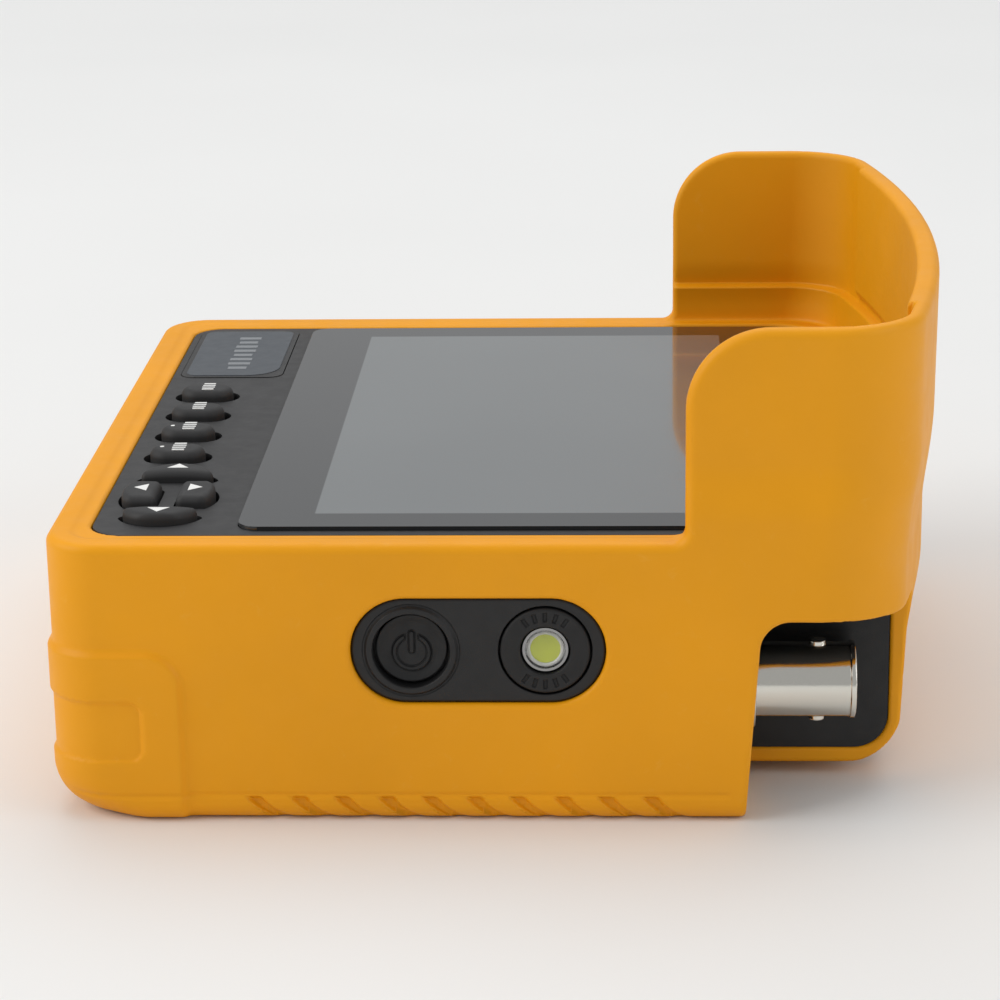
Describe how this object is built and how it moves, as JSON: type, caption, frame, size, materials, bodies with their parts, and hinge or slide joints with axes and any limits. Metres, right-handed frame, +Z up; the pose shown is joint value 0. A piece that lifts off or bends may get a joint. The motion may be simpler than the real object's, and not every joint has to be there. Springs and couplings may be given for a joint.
{
  "type": "vector network analyzer",
  "caption": "Handheld radio test set in a rubber boot with a raised sun hood, display, arrow and function keys, side power button and torch, and coaxial jacks in corner notches.",
  "frame": {"origin": "middle of the outline on the surface it lies on", "axes": "+X from the key end to the jack end, +Z up, the side with the power button faces -Y"},
  "size_m": [0.1112, 0.1118, 0.0613],
  "materials": {
    "yellow_rubber": "matt moulded silicone rubber",
    "panel_plastic": "fine satin texture",
    "case_plastic": "fine satin texture",
    "cover_glass": "glossy, dark printed border",
    "lcd_glass": "grey unlit liquid crystal cell",
    "white_plastic": "smooth",
    "sheet_steel": "tinned",
    "label_film": "satin film",
    "key_rubber": "matt silicone",
    "circuit_board": "solder resist",
    "side_plastic": "fine satin texture",
    "side_rubber": "matt silicone",
    "reflector": "vacuum metallised",
    "led_phosphor": "yellow-green phosphor disc",
    "clear_lens": "clear",
    "chip_plastic": "moulded epoxy",
    "battery_cell": "plain can",
    "battery_film": "shrink film",
    "nickel": "bright nickel plate",
    "contact_brass": "gold flash",
    "screw_steel": "zinc plated"
  },
  "bodies": {
    "instrument": {"rubber_boot": "yellow_rubber", "front_case": "panel_plastic", "rear_case": "case_plastic", "display_glass": "cover_glass", "lcd_panel": "lcd_glass", "lcd_backlight": "white_plastic", "lcd_frame": "sheet_steel", "nameplate": "label_film", "keypad_mat": "key_rubber", "key_domes": "sheet_steel", "keypad_board": "circuit_board", "side_key_plate": "side_plastic", "torch_reflector": "reflector", "torch_led": "led_phosphor", "torch_lens": "clear_lens", "side_switches": "sheet_steel", "side_board": "circuit_board", "main_board": "circuit_board", "main_board_chips": "chip_plastic", "rf_board": "circuit_board", "rf_shield_cans": "sheet_steel", "charge_socket": "sheet_steel", "battery_cells": "battery_cell", "battery_wrap": "battery_film", "case_screws": "screw_steel", "board_screws": "screw_steel", "right_jack_shell": "nickel", "right_jack_insulator": "white_plastic", "right_jack_contact": "contact_brass", "right_jack_washer": "sheet_steel", "right_jack_nut": "nickel", "left_jack_shell": "nickel", "left_jack_insulator": "white_plastic", "left_jack_contact": "contact_brass", "left_jack_washer": "sheet_steel", "left_jack_nut": "nickel"},
    "key_up": {"key_up": "key_rubber"},
    "key_down": {"key_down": "key_rubber"},
    "key_left": {"key_left": "key_rubber"},
    "key_right": {"key_right": "key_rubber"},
    "function_key_1": {"function_key_1": "key_rubber"},
    "function_key_2": {"function_key_2": "key_rubber"},
    "function_key_3": {"function_key_3": "key_rubber"},
    "function_key_4": {"function_key_4": "key_rubber"},
    "power_button": {"power_button": "side_rubber"},
    "torch_button": {"torch_button": "side_rubber"}
  },
  "joints": [
    {"name": "key_up_press", "type": "slide", "parent": "instrument", "child": "key_up", "axis": [0, 0, -1], "range_m": [0, 0.0008], "stiffness_N_per_m": 1500},
    {"name": "key_down_press", "type": "slide", "parent": "instrument", "child": "key_down", "axis": [0, 0, -1], "range_m": [0, 0.0008], "stiffness_N_per_m": 1500},
    {"name": "key_left_press", "type": "slide", "parent": "instrument", "child": "key_left", "axis": [0, 0, -1], "range_m": [0, 0.0008], "stiffness_N_per_m": 1500},
    {"name": "key_right_press", "type": "slide", "parent": "instrument", "child": "key_right", "axis": [0, 0, -1], "range_m": [0, 0.0008], "stiffness_N_per_m": 1500},
    {"name": "function_key_1_press", "type": "slide", "parent": "instrument", "child": "function_key_1", "axis": [0, 0, -1], "range_m": [0, 0.0008], "stiffness_N_per_m": 1500},
    {"name": "function_key_2_press", "type": "slide", "parent": "instrument", "child": "function_key_2", "axis": [0, 0, -1], "range_m": [0, 0.0008], "stiffness_N_per_m": 1500},
    {"name": "function_key_3_press", "type": "slide", "parent": "instrument", "child": "function_key_3", "axis": [0, 0, -1], "range_m": [0, 0.0008], "stiffness_N_per_m": 1500},
    {"name": "function_key_4_press", "type": "slide", "parent": "instrument", "child": "function_key_4", "axis": [0, 0, -1], "range_m": [0, 0.0008], "stiffness_N_per_m": 1500},
    {"name": "power_button_press", "type": "slide", "parent": "instrument", "child": "power_button", "axis": [0, 1, 0], "range_m": [0, 0.0006], "stiffness_N_per_m": 2000},
    {"name": "torch_button_press", "type": "slide", "parent": "instrument", "child": "torch_button", "axis": [0, 1, 0], "range_m": [0, 0.0006], "stiffness_N_per_m": 2000}
  ]
}
